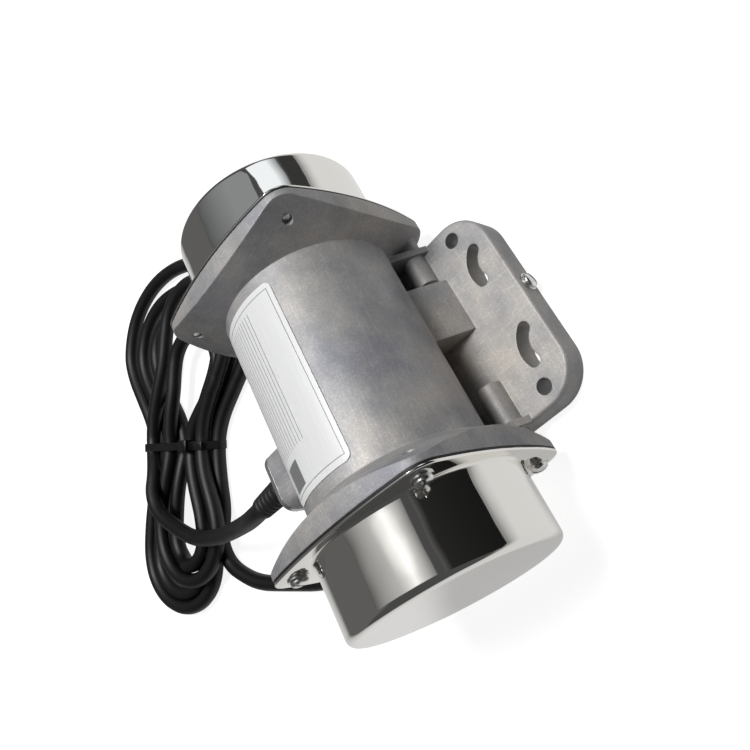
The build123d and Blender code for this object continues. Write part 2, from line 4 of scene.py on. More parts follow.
import bmesh
import bpy
from mathutils import Matrix, Vector


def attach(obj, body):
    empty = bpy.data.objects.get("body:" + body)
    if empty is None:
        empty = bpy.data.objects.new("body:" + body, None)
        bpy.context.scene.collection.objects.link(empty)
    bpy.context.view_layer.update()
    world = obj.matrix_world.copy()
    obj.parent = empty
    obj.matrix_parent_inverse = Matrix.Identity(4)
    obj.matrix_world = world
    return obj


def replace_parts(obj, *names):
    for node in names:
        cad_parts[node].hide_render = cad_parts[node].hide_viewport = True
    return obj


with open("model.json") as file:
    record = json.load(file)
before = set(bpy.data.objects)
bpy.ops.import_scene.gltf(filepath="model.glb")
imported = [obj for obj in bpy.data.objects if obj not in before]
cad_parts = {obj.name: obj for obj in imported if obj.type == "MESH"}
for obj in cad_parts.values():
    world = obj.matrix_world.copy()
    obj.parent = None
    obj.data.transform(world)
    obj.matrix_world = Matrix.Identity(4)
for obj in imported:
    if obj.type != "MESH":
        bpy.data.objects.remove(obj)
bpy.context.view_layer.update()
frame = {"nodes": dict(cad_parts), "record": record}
scene = bpy.context.scene
scene.view_settings.view_transform = "Standard"
MM = 0.001
WHITE = (1, 1, 1)


def mm(*values):
    return Vector(values) * MM


def placed(name, data):
    """A new object in the scene."""
    made = bpy.data.objects.new(name, data)
    scene.collection.objects.link(made)
    return made


def circle(count):
    """Cosine and sine at equal steps round a circle."""
    return [
        (math.cos(2 * math.pi * k / count), math.sin(2 * math.pi * k / count))
        for k in range(count)
    ]


def quarter_turn(steps):
    """Angles at equal steps from 0 to 90 degrees, both included."""
    return [math.pi / 2 * step / steps for step in range(steps + 1)]


# Camera: the photograph's place and roll, worked out from the caps, flanges and foot holes
camera_data = bpy.data.cameras.new("camera")
camera_data.lens = 36.26
camera_data.sensor_width = 36.0
camera_data.clip_start = 0.01
camera_data.clip_end = 50
camera = placed("camera", camera_data)
right = Vector((0.4223, 0.6048, -0.6752))
down = Vector((0.8041, -0.5938, -0.0290))
forward = Vector((-0.4185, -0.5307, -0.7370))
place = mm(125.1, 166.8, 262.6)
camera.matrix_world = Matrix(
    (
        (right.x, -down.x, -forward.x, place.x),
        (right.y, -down.y, -forward.y, place.y),
        (right.z, -down.z, -forward.z, place.z),
        (0, 0, 0, 1),
    )
)
scene.camera = camera


# Materials

class NodeTree:
    """Short ways to add nodes to a material's or the world's tree."""

    def __init__(self, tree):
        self.tree = tree

    def node(self, kind, **settings):
        made = self.tree.nodes.new(kind)
        for key, value in settings.items():
            setattr(made, key, value)
        return made

    def link(self, source, target):
        self.tree.links.new(source, target)

    def fill(self, socket, value):
        """Give a socket a number, a colour or another node's output."""
        if isinstance(value, (int, float)):
            socket.default_value = value
        elif isinstance(value, tuple):
            socket.default_value = (*value, 1)
        else:
            self.link(value, socket)

    def maths(self, operation, *values):
        made = self.node("ShaderNodeMath", operation=operation)
        for socket, value in zip(made.inputs, values):
            self.fill(socket, value)
        return made.outputs[0]

    def mixed(self, a, b, share, kind="MIX"):
        made = self.node("ShaderNodeMix", data_type="RGBA", blend_type=kind)
        for value, socket in ((share, 0), (a, 6), (b, 7)):
            self.fill(made.inputs[socket], value)
        return made.outputs[2]

    def ramp(self, source, *stops):
        """A colour ramp from (place, colour) stops."""
        made = self.node("ShaderNodeValToRGB")
        elements = made.color_ramp.elements
        while len(elements) < len(stops):
            elements.new(0.5)
        for element, (spot, colour) in zip(elements, stops):
            element.position = spot
            element.color = (*colour, 1)
        self.link(source, made.inputs["Fac"])
        return made.outputs["Color"]

    def ranged(self, source, old, new, kind="LINEAR"):
        """A value moved from one range to another."""
        made = self.node("ShaderNodeMapRange", interpolation_type=kind)
        for name, value in zip(("From Min", "From Max", "To Min", "To Max"), (*old, *new)):
            made.inputs[name].default_value = value
        self.link(source, made.inputs["Value"])
        return made.outputs["Result"]


class Shader(NodeTree):
    """A new material with its principled shader."""

    def __init__(self, name, colour, metallic=0.0, roughness=0.5, **sockets):
        self.material = bpy.data.materials.new(name)
        self.material.use_nodes = True
        super().__init__(self.material.node_tree)
        self.main = self.tree.nodes["Principled BSDF"]
        self.main.inputs["Base Color"].default_value = (*colour, 1)
        self.main.inputs["Metallic"].default_value = metallic
        self.main.inputs["Roughness"].default_value = roughness
        for socket, value in sockets.items():
            self.main.inputs[socket.replace("_", " ")].default_value = value
        self.place = self.node("ShaderNodeTexCoord").outputs["Object"]

    def stretched(self, scale):
        mapping = self.node("ShaderNodeMapping")
        mapping.inputs["Scale"].default_value = scale
        self.link(self.place, mapping.inputs["Vector"])
        return mapping.outputs["Vector"]

    def noise(self, scale, detail=3.0, rough=0.55):
        """Noise of one scale, or drawn out by a scale for each axis."""
        made = self.node("ShaderNodeTexNoise")
        drawn_out = isinstance(scale, tuple)
        made.inputs["Scale"].default_value = 1 if drawn_out else scale
        made.inputs["Detail"].default_value = detail
        made.inputs["Roughness"].default_value = rough
        self.link(self.stretched(scale) if drawn_out else self.place, made.inputs["Vector"])
        return made.outputs["Fac"]

    def colour(self, source):
        self.link(source, self.main.inputs["Base Color"])

    def roughness(self, source, low, high):
        self.link(self.ranged(source, (0, 1), (low, high)), self.main.inputs["Roughness"])

    def bump(self, source, height, strength=1.0, below=None):
        made = self.node("ShaderNodeBump")
        made.inputs["Strength"].default_value = strength
        made.inputs["Distance"].default_value = height
        self.link(source, made.inputs["Height"])
        if below is not None:
            self.link(below, made.inputs["Normal"])
        self.link(made.outputs["Normal"], self.main.inputs["Normal"])
        return made.outputs["Normal"]

    def soft_edges(self, radius):
        made = self.node("ShaderNodeBevel", samples=6)
        made.inputs["Radius"].default_value = radius
        self.link(made.outputs["Normal"], self.main.inputs["Normal"])
        return made.outputs["Normal"]

    def worn_edges(self, softened):
        """1 along edges, where the softened normal leaves the surface's own, and 0 elsewhere."""
        meeting = self.node("ShaderNodeVectorMath", operation="DOT_PRODUCT")
        self.link(self.node("ShaderNodeNewGeometry").outputs["Normal"], meeting.inputs[0])
        self.link(softened, meeting.inputs[1])
        return self.ranged(meeting.outputs["Value"], (0.99, 0.85), (0, 1))


def grey(level):
    return (level, level, level)


def cast_metal():
    s = Shader("cast_aluminium", grey(0.45), metallic=0.45, roughness=0.6)
    clouds = s.noise(24, detail=4)
    patches = s.noise(75, detail=3)
    grain = s.noise(2600, detail=3, rough=0.7)
    speck = s.node("ShaderNodeTexVoronoi")
    speck.inputs["Scale"].default_value = 2300
    s.link(s.place, speck.inputs["Vector"])
    tint = s.ramp(
        clouds,
        (0.35, (0.365, 0.368, 0.395)),
        (0.50, (0.448, 0.438, 0.43)),
        (0.65, (0.53, 0.50, 0.465)),
    )
    marks = s.ramp(
        patches,
        (0.36, (0.84, 0.84, 0.86)),
        (0.50, grey(0.98)),
        (0.64, (1.08, 1.06, 1.04)),
    )
    sparkle = s.ramp(
        speck.outputs["Color"],
        (0.30, grey(0.88)),
        (0.70, grey(1.0)),
        (0.93, (1.22, 1.22, 1.23)),
    )
    skin = s.mixed(s.mixed(tint, marks, 1.0, "MULTIPLY"), sparkle, 0.7, "MULTIPLY")
    for scale in ((45, 1500, 700), (900, 60, 1400)):
        # A thin slice of a drawn-out noise reads as short scratches
        slices = s.noise(scale, detail=2)
        scratches = s.ramp(slices, (0.60, WHITE), (0.63, grey(1.28)), (0.66, WHITE))
        skin = s.mixed(skin, scratches, 0.8, "MULTIPLY")
    edges = s.soft_edges(0.0008)
    uneven = s.ramp(s.noise(160, detail=3), (0.35, grey(0.2)), (0.6, grey(0.8)))
    wear = s.maths("MULTIPLY", s.worn_edges(edges), uneven)
    s.colour(s.mixed(skin, (0.74, 0.735, 0.72), wear))
    s.roughness(speck.outputs["Distance"], 0.52, 0.66)
    rough = s.bump(grain, 0.00004, 0.35, below=edges)
    s.bump(s.noise(210, detail=3), 0.0001, 0.22, below=rough)
    return s.material


def machined_face():
    s = Shader("machined_aluminium", (0.62, 0.62, 0.625), metallic=0.95, roughness=0.32)
    lines = s.noise((30, 2600, 2600), detail=2)
    s.colour(s.ramp(lines, (0.3, (0.52, 0.52, 0.53)), (0.7, grey(0.70))))
    s.roughness(lines, 0.26, 0.4)
    s.bump(lines, 0.00002, 0.3, below=s.soft_edges(0.0003))
    return s.material


def polished_steel():
    s = Shader("polished_steel", (0.87, 0.852, 0.81), metallic=1.0, roughness=0.035)
    lines = s.noise((900, 25, 25), detail=3)
    smears = s.noise(34, detail=4, rough=0.6)
    s.roughness(s.mixed(lines, smears, 0.6), 0.012, 0.075)
    waves = s.bump(s.noise(30, detail=2), 0.0006)
    s.bump(lines, 0.000008, 0.12, below=waves)
    return s.material


def zinc():
    s = Shader("zinc_steel", (0.8, 0.8, 0.79), metallic=1.0, roughness=0.24)
    spots = s.noise(420, detail=4)
    s.colour(s.ramp(spots, (0.35, (0.70, 0.70, 0.69)), (0.65, (0.90, 0.895, 0.88))))
    s.roughness(spots, 0.18, 0.34)
    s.bump(spots, 0.00003, 0.3, below=s.soft_edges(0.00035))
    return s.material


def turned_steel(name, colour, spread, rough):
    s = Shader(name, colour, metallic=1.0, roughness=rough)
    lines = s.noise((2200, 60, 60), detail=2)
    low = tuple(c * (1 - spread) for c in colour)
    high = tuple(c * (1 + spread) for c in colour)
    s.colour(s.ramp(lines, (0.3, low), (0.7, high)))
    s.roughness(lines, rough * 0.8, rough * 1.3)
    s.bump(lines, 0.00002, 0.25, below=s.soft_edges(0.0003))
    return s.material


def rubber(name, colour, rough, shine=0.4):
    s = Shader(name, colour, roughness=rough, Specular_IOR_Level=shine)
    grain = s.noise(2400, detail=2)
    patches = s.noise(60, detail=3)
    high = tuple(c * 1.7 for c in colour)
    s.colour(s.ramp(patches, (0.35, colour), (0.7, high)))
    s.roughness(patches, rough * 0.8, rough * 1.2)
    s.bump(grain, 0.00003, 0.4)
    return s.material


def plate_foil():
    """Pale sheet with blank ruled fields. Its UV map holds mm along and round the barrel."""
    s = Shader("plate_foil", grey(0.9), roughness=0.36)
    split = s.node("ShaderNodeSeparateXYZ")
    s.link(s.node("ShaderNodeUVMap", uv_map="plate").outputs["UV"], split.inputs[0])
    along, round_way = split.outputs["X"], split.outputs["Y"]

    def between(value, low, high):
        above = s.maths("GREATER_THAN", value, low)
        return s.maths("MULTIPLY", above, s.maths("LESS_THAN", value, high))

    def box(x0, x1, y0, y1):
        return s.maths("MULTIPLY", between(along, x0, x1), between(round_way, y0, y1))

    row_pitch, line_share = 1.9, 0.14
    grain = s.noise((60, 3000, 3000), detail=2)
    shade = s.ramp(grain, (0.3, (0.86, 0.865, 0.87)), (0.7, (0.94, 0.94, 0.935)))
    row = s.maths("FRACT", s.maths("DIVIDE", round_way, row_pitch))
    in_line = s.maths("LESS_THAN", row, line_share)
    rules = s.maths("MULTIPLY", in_line, box(-34, 22, -15.5, 5.0))
    outer, inner = box(-36.5, 36.5, -17.0, 17.0), box(-36.2, 36.2, -16.7, 16.7)
    frame_line = s.maths("SUBTRACT", outer, inner)
    block = box(25.0, 35.0, -15.0, -5.0)
    ink = s.maths("MINIMUM", s.maths("ADD", s.maths("ADD", rules, frame_line), block), 1.0)
    s.colour(s.mixed(shade, (0.10, 0.10, 0.105), s.maths("MULTIPLY", ink, 0.85)))
    s.roughness(grain, 0.3, 0.42)
    s.bump(s.noise(90, detail=2), 0.00004, 0.3)
    return s.material


def laminations():
    s = Shader("laminations", (0.36, 0.36, 0.37), metallic=0.9, roughness=0.45)
    wave = s.node("ShaderNodeTexWave", wave_type="BANDS", bands_direction="X")
    wave.inputs["Scale"].default_value = 320
    s.link(s.place, wave.inputs["Vector"])
    sheets = wave.outputs["Fac"]
    s.colour(s.ramp(sheets, (0.1, (0.18, 0.18, 0.19)), (0.5, (0.40, 0.40, 0.41))))
    s.bump(sheets, 0.0001, 0.5)
    return s.material


def copper(name, rough):
    s = Shader(name, (0.72, 0.36, 0.20), metallic=1.0, roughness=rough)
    strands = s.noise((900, 240, 900), detail=3)
    s.colour(s.ramp(strands, (0.3, (0.50, 0.20, 0.09)), (0.7, (0.84, 0.46, 0.27))))
    s.bump(strands, 0.0001, 0.5)
    return s.material


looks = {
    "cast_body": cast_metal(),
    "polished_cap": polished_steel(),
    "zinc_fastener": zinc(),
    "plate": machined_face(),
    "gasket_rubber": rubber("gasket_rubber", (0.010, 0.010, 0.011), 0.55),
    "bearing_steel": turned_steel("bearing_steel", (0.66, 0.67, 0.68), 0.08, 0.2),
    "machined_steel": turned_steel("machined_steel", (0.55, 0.55, 0.56), 0.12, 0.3),
    "weight_steel": turned_steel("weight_steel", (0.42, 0.42, 0.43), 0.15, 0.42),
    "lamination_steel": laminations(),
    "copper_winding": copper("copper_winding", 0.4),
    "cage_aluminium": machined_face(),
    "wire_insulation": rubber("wire_insulation", (0.42, 0.40, 0.36), 0.45),
    "conductor": copper("conductor", 0.3),
    "cord_sheath": rubber("cord_sheath", (0.0012, 0.0013, 0.0014), 0.48, 0.5),
    "tie_plastic": rubber("tie_plastic", (0.006, 0.006, 0.007), 0.3, 0.35),
}
for part in frame["record"]["subparts"]:
    shown = frame["nodes"][part["node"]]
    shown.data.materials.clear()
    shown.data.materials.append(looks[part["material_slot"]])


# Ways to make meshes

def face_outward(mesh):
    tidy = bmesh.new()
    tidy.from_mesh(mesh)
    bmesh.ops.recalc_face_normals(tidy, faces=tidy.faces)
    tidy.to_mesh(mesh)
    tidy.free()


def new_mesh(name, verts, faces, material, smooth=40):
    """A mesh piece that rides on the housing, with edges sharper than the angle left sharp."""
    mesh = bpy.data.meshes.new(name)
    mesh.from_pydata([tuple(v) for v in verts], [], faces)
    mesh.validate()
    mesh.materials.append(material)
    face_outward(mesh)
    mesh.shade_smooth()
    mesh.set_sharp_from_angle(angle=math.radians(smooth))
    piece = placed(name, mesh)
    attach(piece, "housing")
    return piece


def rings_mesh(rings, closed_ends=True):
    """Faces between rings of equal point counts, with a cap at either end if asked."""
    count = len(rings[0])
    verts = [point for ring in rings for point in ring]
    faces = []
    for row in range(len(rings) - 1):
        for k in range(count):
            a, b = row * count + k, row * count + (k + 1) % count
            faces.append((a, b, b + count, a + count))
    if closed_ends:
        faces.append(tuple(range(count))[::-1])
        faces.append(tuple(range((len(rings) - 1) * count, len(rings) * count)))
    return verts, faces


def joined(shapes):
    """One list of points and one of faces from several shapes."""
    verts, faces = [], []
    for points, sides in shapes:
        shift = len(verts)
        verts += points
        faces += [tuple(i + shift for i in side) for side in sides]
    return verts, faces


# Cord: one spline from the cable entry, through the hank's turns, to the bare conductors
cord_radius = 4.25
lead_route = [
    (16, -31.5, 56.5), (16, -62, 56.5), (12.5, -84, 49), (6.6, -102.5, 39.5),
    (0, -124.8, 32), (-7.1, -144.6, 27), (-16.8, -163.4, 24), (-32.5, -178.6, 22.5),
    (-47, -189.5, 22), (-61, -190.5, 21), (-72, -187.6, 17),
]
tail_route = [
    (-15.6, -167.6, 4.25), (0.2, -167.4, 4.25), (13.6, -156.4, 4.25),
    (21.4, -146.4, 4.25), (27.2, -134.8, 4.25), (33.9, -120.8, 4.25),
    (38.9, -110.5, 4.25), (44.5, -95, 4.25), (50, -81, 4.25),
]
hank_middle = Vector((-78, -167.4, 0))
hank_run = Vector((109, -66, 0)).normalized()
hank_side = Vector((-hank_run.y, hank_run.x, 0))
low, nested, upper = 4.25, 10.9, 12.9

# The hank's strands at its waist, in the cord's order: place across the hank and height
waist = [
    (-24.4, nested), (26.6, nested), (-5.1, nested), (16, nested), (1, low),
    (11, low), (-15, low), (21.1, low), (-30.8, low), (32.1, low),
]

# The bight between each two of them, rear and front in turn: the leg that the cord goes out
# on, the reach along the hank, the leg that it comes back on, and depth to half width
bights = [
    ((-5.2, upper), -95.6, (56.3, upper), 1.0),
    ((42.1, upper), 77.4, (-14.5, upper), 1.0),
    ((3.4, upper), -66.1, (47.7, upper), 1.0),
    ((29.2, upper), 68.7, (-4.8, 9), 1.0),
    ((-30.4, low), -84, (36.6, low), 0.78),
    ((18.5, low), 87.5, (-31.1, low), 0.85),
    ((-45.7, low), -95.7, (49.8, low), 0.78),
    ((28.2, low), 96, (-41, low), 0.85),
    ((-60.8, low), -111, (66, low), 0.78),
]
hank_end = [(20, 33.6, low), (38, 37, low)]


def hank_point(along, side, height):
    spot = hank_middle + hank_run * along + hank_side * side
    return (spot.x, spot.y, height)


def bight_leg(waist_spot, leg, root, shares):
    """Points between the waist and a bight's root. A strand rises sooner than it swings out."""
    rise_rate = 2.6
    points = []
    for share in shares:
        swing = (1 - math.cos(math.pi * share)) / 2
        rise = min(1, rise_rate * share) if leg[1] > waist_spot[1] else swing
        side = waist_spot[0] + (leg[0] - waist_spot[0]) * swing
        points.append((root * share, side, waist_spot[1] + (leg[1] - waist_spot[1]) * rise))
    return points


def bight(start, leg_out, reach, leg_back, end, flat):
    """Control points from the waist out round one bight and back towards the waist."""
    half = (leg_back[0] - leg_out[0]) / 2
    middle = (leg_back[0] + leg_out[0]) / 2
    depth = math.copysign(abs(half) * flat, reach)
    root = reach - depth
    points = [(0, *start)] + bight_leg(start, leg_out, root, (0.25, 0.5, 0.75))
    arc_steps = 6
    for step in range(arc_steps + 1):
        turn = math.pi * step / arc_steps
        height = leg_out[1] if step <= arc_steps / 2 else leg_back[1]
        points.append((root + depth * math.sin(turn), middle - half * math.cos(turn), height))
    return points + bight_leg(end, leg_back, root, (0.75, 0.5, 0.25))


hank_route = []
for start, (leg_out, reach, leg_back, flat), end in zip(waist, bights, waist[1:]):
    hank_route += bight(start, leg_out, reach, leg_back, end, flat)
hank_route += [(0, *waist[-1])] + hank_end
cord_route = lead_route + [hank_point(*point) for point in hank_route] + tail_route


def spline_curve(name, points, radius=0.0, material=None):
    """A smooth curve through the space round a route's points, with no thickness at radius 0."""
    data = bpy.data.curves.new(name, "CURVE")
    data.dimensions = "3D"
    data.resolution_u = 8
    if radius:
        data.bevel_depth = radius * MM
        data.bevel_resolution = 6
        data.use_fill_caps = True
        data.materials.append(material)
    spline = data.splines.new("NURBS")
    spline.points.add(len(points) - 1)
    for control, point in zip(spline.points, points):
        control.co = (point[0] * MM, point[1] * MM, point[2] * MM, 1)
    spline.order_u = 3
    spline.use_endpoint_u = True
    return placed(name, data)


def followed(points):
    """Points along the smooth line of a route, read from its spline."""
    guide = spline_curve("guide", points)
    line = bpy.data.meshes.new_from_object(guide)
    spots = [vertex.co.copy() for vertex in line.vertices]
    bpy.data.objects.remove(guide)
    return spots


cord = spline_curve("supply_cord", cord_route, cord_radius, looks["cord_sheath"])
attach(cord, "housing")
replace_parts(cord, "cord_lead", "cord_hank", "cord_tail")

# Drawn caps: one smooth shell each, from the end face over the drum to the sheet under the
# screws. The sizes are those of the solids.
face_x, gasket, sheet = 57.5, 0.8, 1.0
cap_radius, cap_end_x, cap_bend, cap_root = 42.0, 89.3, 3.0, 1.5
flange_half, lobe_offset, lobe_radius, axis_height = 46.5, 33.224, 10.0, 47.5
bulge_depth = flange_half - lobe_offset
bulge_radius = (bulge_depth**2 + lobe_offset**2 - lobe_radius**2) / (
    2 * (bulge_depth - lobe_radius)
)


def flange_reach(angle):
    """Distance from the shaft line to the flange's outline in one direction."""
    folded = abs((angle + math.pi / 4) % (math.pi / 2) - math.pi / 4)

    def hit(centre_y, centre_z, radius):
        along = centre_y * math.cos(folded) + centre_z * math.sin(folded)
        off = centre_y * math.sin(folded) - centre_z * math.cos(folded)
        return along + math.sqrt(max(radius * radius - off * off, 0))

    share = lobe_radius / (bulge_radius - lobe_radius)
    join_y = lobe_offset + (lobe_offset - flange_half + bulge_radius) * share
    join_z = lobe_offset * (1 + share)
    if math.tan(folded) * join_y < join_z:
        return hit(flange_half - bulge_radius, 0, bulge_radius)
    return hit(lobe_offset, lobe_offset, lobe_radius)


def shell_ring(x, reach, inset=0.0):
    """A ring round the shaft line, of one radius or of a reach for each direction."""
    ring = []
    steps = 192
    for k in range(steps):
        angle = 2 * math.pi * k / steps
        r = (reach(angle) if callable(reach) else reach) - inset
        ring.append(mm(x, r * math.cos(angle), axis_height + r * math.sin(angle)))
    return ring


def cap_shell(name, end):
    sheet_x = face_x + gasket + sheet
    bend_x, bend_radius = cap_end_x - cap_bend, cap_radius - cap_bend
    root_x, root_radius = sheet_x + cap_root, cap_radius + cap_root
    profile = [(cap_end_x, r) for r in (1.0, 14.0, 28.0, 37.0)]
    for turn in quarter_turn(10):
        x = bend_x + cap_bend * math.cos(turn)
        profile.append((x, bend_radius + cap_bend * math.sin(turn)))
    profile += [(x, cap_radius) for x in (80.0, 73.0, 66.0)]
    for turn in quarter_turn(6):
        x = root_x - cap_root * math.sin(turn)
        profile.append((x, root_radius - cap_root * math.cos(turn)))
    rings = [shell_ring(end * x, r) for x, r in profile]

    # The sheet's edge: how far below its face, and how far inside the flange's outline
    for depth, inset in ((0, 0.45), (0.12, 0.12), (0.3, 0.0), (0.85, 0.0), (sheet, 0.15)):
        rings.append(shell_ring(end * (sheet_x - depth), flange_reach, inset))

    inner, end_x = cap_radius - sheet, cap_end_x - sheet
    inside = ((sheet_x - sheet, inner), (bend_x, inner), (end_x, inner - 2), (end_x, 1.0))
    rings += [shell_ring(end * x, r) for x, r in inside]
    shell = new_mesh(name, *rings_mesh(rings), looks["polished_cap"], smooth=50)
    return shell


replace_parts(cap_shell("front_cap_shell", 1), "front_cap")
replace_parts(cap_shell("rear_cap_shell", -1), "rear_cap")

# Plate round the barrel, with rounded corners. Its rows lie closer towards the corners.
plate_half_length, plate_corner, plate_inner, plate_outer = 39.0, 3.0, 37.03, 37.4
plate_middle, plate_half = math.radians(98), math.radians(29)
plate_reach = plate_half * plate_outer
plate_verts, plate_faces, plate_uv = [], [], []
plate_rows, plate_columns = 48, 40
for layer_radius in (plate_outer, plate_inner):
    for row in range(plate_rows + 1):
        way = -math.cos(math.pi * row / plate_rows) * plate_reach
        over = max(abs(way) - (plate_reach - plate_corner), 0)
        cut = plate_corner - math.sqrt(max(plate_corner**2 - over**2, 0))
        angle = plate_middle - way / plate_outer
        across = layer_radius * math.cos(angle)
        height = axis_height + layer_radius * math.sin(angle)
        for column in range(plate_columns + 1):
            x = (2 * column / plate_columns - 1) * (plate_half_length - cut)
            plate_verts.append(mm(x, across, height))
            plate_uv.append((x, way))
row_count = plate_columns + 1
layer = (plate_rows + 1) * row_count
for row in range(plate_rows):
    for column in range(plate_columns):
        a = row * row_count + column
        b = a + row_count
        plate_faces.append((a, a + 1, b + 1, b))
        plate_faces.append((layer + b, layer + b + 1, layer + a + 1, layer + a))
rim = list(range(row_count))
rim += [(row + 1) * row_count - 1 for row in range(1, plate_rows + 1)]
rim += [plate_rows * row_count + column for column in range(plate_columns - 1, -1, -1)]
rim += [row * row_count for row in range(plate_rows - 1, 0, -1)]
for a, b in zip(rim, rim[1:] + rim[:1]):
    plate_faces.append((a, b, layer + b, layer + a))
plate = new_mesh("plate_round_barrel", plate_verts, plate_faces, plate_foil())
plate_map = plate.data.uv_layers.new(name="plate")
for loop in plate.data.loops:
    plate_map.data[loop.index].uv = plate_uv[loop.vertex_index]
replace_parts(plate, "nameplate")


def pan_head(radius, height, slot_width, slot_depth):
    """A low domed screw head with its slot, standing on the XY plane."""
    wall, dome, top, flat_share = 0.34 * height, 0.52 * height, 0.88 * height, 0.30
    profile = [(radius * 0.94, 0.0), (radius, 0.12 * height), (radius, wall)]
    for turn in quarter_turn(9)[1:-1]:
        share = flat_share + (1 - flat_share) * math.cos(turn)
        profile.append((radius * share, wall + dome * math.sin(turn)))
    profile.append((radius * 0.04, top))
    verts, faces = rings_mesh([[mm(r * c, r * s, z) for c, s in circle(48)] for r, z in profile])
    head = placed("head_blank", bpy.data.meshes.new("head_blank"))
    head.data.from_pydata([tuple(v) for v in verts], [], faces)

    cutter = placed("slot_cutter", bpy.data.meshes.new("slot_cutter"))
    beyond, half = 9, slot_width / 2
    outline = ((-beyond, -half), (beyond, -half), (beyond, half), (-beyond, half))
    blade = [mm(x, y, z) for z in (top - slot_depth, height + 1) for x, y in outline]
    cutter.data.from_pydata([tuple(v) for v in blade], [], [
        (3, 2, 1, 0), (4, 5, 6, 7), (0, 1, 5, 4), (1, 2, 6, 5), (2, 3, 7, 6), (3, 0, 4, 7),
    ])
    for blank in (head, cutter):
        face_outward(blank.data)
    cut = head.modifiers.new("slot", "BOOLEAN")
    cut.operation = "DIFFERENCE"
    cut.object = cutter
    bpy.context.view_layer.update()
    evaluated = head.evaluated_get(bpy.context.evaluated_depsgraph_get())
    shaped = bpy.data.meshes.new_from_object(evaluated)
    verts = [v.co.copy() for v in shaped.vertices]
    faces = [tuple(f.vertices) for f in shaped.polygons]
    bpy.data.objects.remove(head)
    bpy.data.objects.remove(cutter)
    return verts, faces


def screws(name, node, places, axis, head, shank_length):
    """Slotted pan-head M4 screws for a CAD node, by their seats and the angles of their slots."""
    shank_radius, tip, sunk = 2.0, 0.5, 0.3
    shank = (
        (shank_radius, sunk),
        (shank_radius, -shank_length + tip + 0.1),
        (shank_radius - tip, -shank_length),
    )
    head_verts, head_faces = head
    upright = Vector(axis).to_track_quat("Z", "Y")
    shapes = []
    for seat, angle in places:
        spin = upright @ Matrix.Rotation(math.radians(angle), 3, "Z").to_quaternion()
        shapes.append(([seat + spin @ v for v in head_verts], head_faces))
        shapes.append(rings_mesh([
            [seat + spin @ mm(r * c, r * s, depth) for c, s in circle(24)] for r, depth in shank
        ]))
    piece = new_mesh(name, *joined(shapes), looks["zinc_fastener"], smooth=32)
    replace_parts(piece, node)


screw_ring, washer = cap_radius + 6.4, 0.8
screw_offset = screw_ring / math.sqrt(2)
cap_head = pan_head(radius=3.5, height=2.8, slot_width=1.1, slot_depth=1.1)
corners = [(y, z) for y in (-screw_offset, screw_offset) for z in (-screw_offset, screw_offset)]
for end, side_name, angles in ((1, "front", (20, 75, 128, 52)), (-1, "rear", (64, 110, 15, 150))):
    seat_x = end * (face_x + gasket + sheet + washer)
    places = [(mm(seat_x, y, axis_height + z), turn) for (y, z), turn in zip(corners, angles)]
    node = f"{side_name}_cap_screws"
    screws(f"{side_name}_cap_screw_set", node, places, (end, 0, 0), cap_head, 9.0)
earth_head = pan_head(radius=3.4, height=2.4, slot_width=1.1, slot_depth=1.0)
earth_seat = mm(-2.5, 68.3, 5.6)
screws("earth_screw_slotted", "earth_screw", [(earth_seat, 35)], (0, 1, 0), earth_head, 8.0)


def round_frames(line):
    """Two unit vectors across a line at each of its points, without twist."""
    tangents = []
    for k in range(len(line)):
        ahead, behind = line[min(k + 1, len(line) - 1)], line[max(k - 1, 0)]
        tangents.append((ahead - behind).normalized())
    side = tangents[0].orthogonal().normalized()
    frames = []
    for tangent in tangents:
        side = (side - tangent * side.dot(tangent)).normalized()
        frames.append((side, tangent.cross(side)))
    return frames


# Strain relief: a rubber boot on the cord, with a collar on the clamp plate and a grooved
# taper beyond it. Its stations are measured outwards from the shaft line.
boot_start, collar_start, collar_end, boot_end = 34.0, 45.5, 46.9, 69.0
plug_radius, collar_radius, taper_radius, taper_loss = 5.45, 6.2, 6.0, 1.0
groove_start, groove_end, groove_pitch, groove_width, groove_depth = 49, 66, 3.0, 1.1, 0.55
boot_step = 0.6
cord_line = followed(cord_route)
boot_line = []
for a, b in zip(cord_line, cord_line[1:]):
    stretches = max(1, round((b - a).length / (boot_step * MM)))
    for step in range(stretches):
        spot = a.lerp(b, step / stretches)
        if boot_start < -spot.y / MM < boot_end:
            boot_line.append(spot)
    if -b.y / MM > boot_end:
        break
boot_rings = []
for spot, (side, lift) in zip(boot_line, round_frames(boot_line)):
    out = -spot.y / MM
    if out < collar_start:
        reach = plug_radius
    elif out < collar_end:
        reach = collar_radius
    else:
        reach = taper_radius - taper_loss * (out - collar_end) / (boot_end - collar_end)
        grooved = groove_start < out < groove_end
        if grooved and (out - groove_start) % groove_pitch < groove_width:
            reach -= groove_depth
    boot_rings.append([spot + (side * c + lift * s) * reach * MM for c, s in circle(40)])
boot = new_mesh("strain_relief", *rings_mesh(boot_rings), looks["gasket_rubber"], smooth=35)
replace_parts(boot, "cable_bush")

# Tie: a strap drawn round the waist of the hank, with its lock and cut tail
strap_grip, strap_clearance = 0.15, 0.02
strap_section = ((0.0, -2.4), (0.0, 2.4), (0.55, 2.5), (1.1, 2.2), (1.1, -2.2), (0.55, -2.5))
strap_rings = []
for pull in circle(96):
    strand = max(waist, key=lambda s: s[0] * pull[0] + s[1] * pull[1])
    ring = []
    for out, along in strap_section:
        reach = cord_radius - strap_grip + out
        floor_level = strap_clearance + out * 0.3
        height = max(strand[1] + pull[1] * reach, floor_level)
        ring.append(mm(*hank_point(along, strand[0] + pull[0] * reach, height)))
    strap_rings.append(ring)
strap_band = rings_mesh(strap_rings + [strap_rings[0]], closed_ends=False)


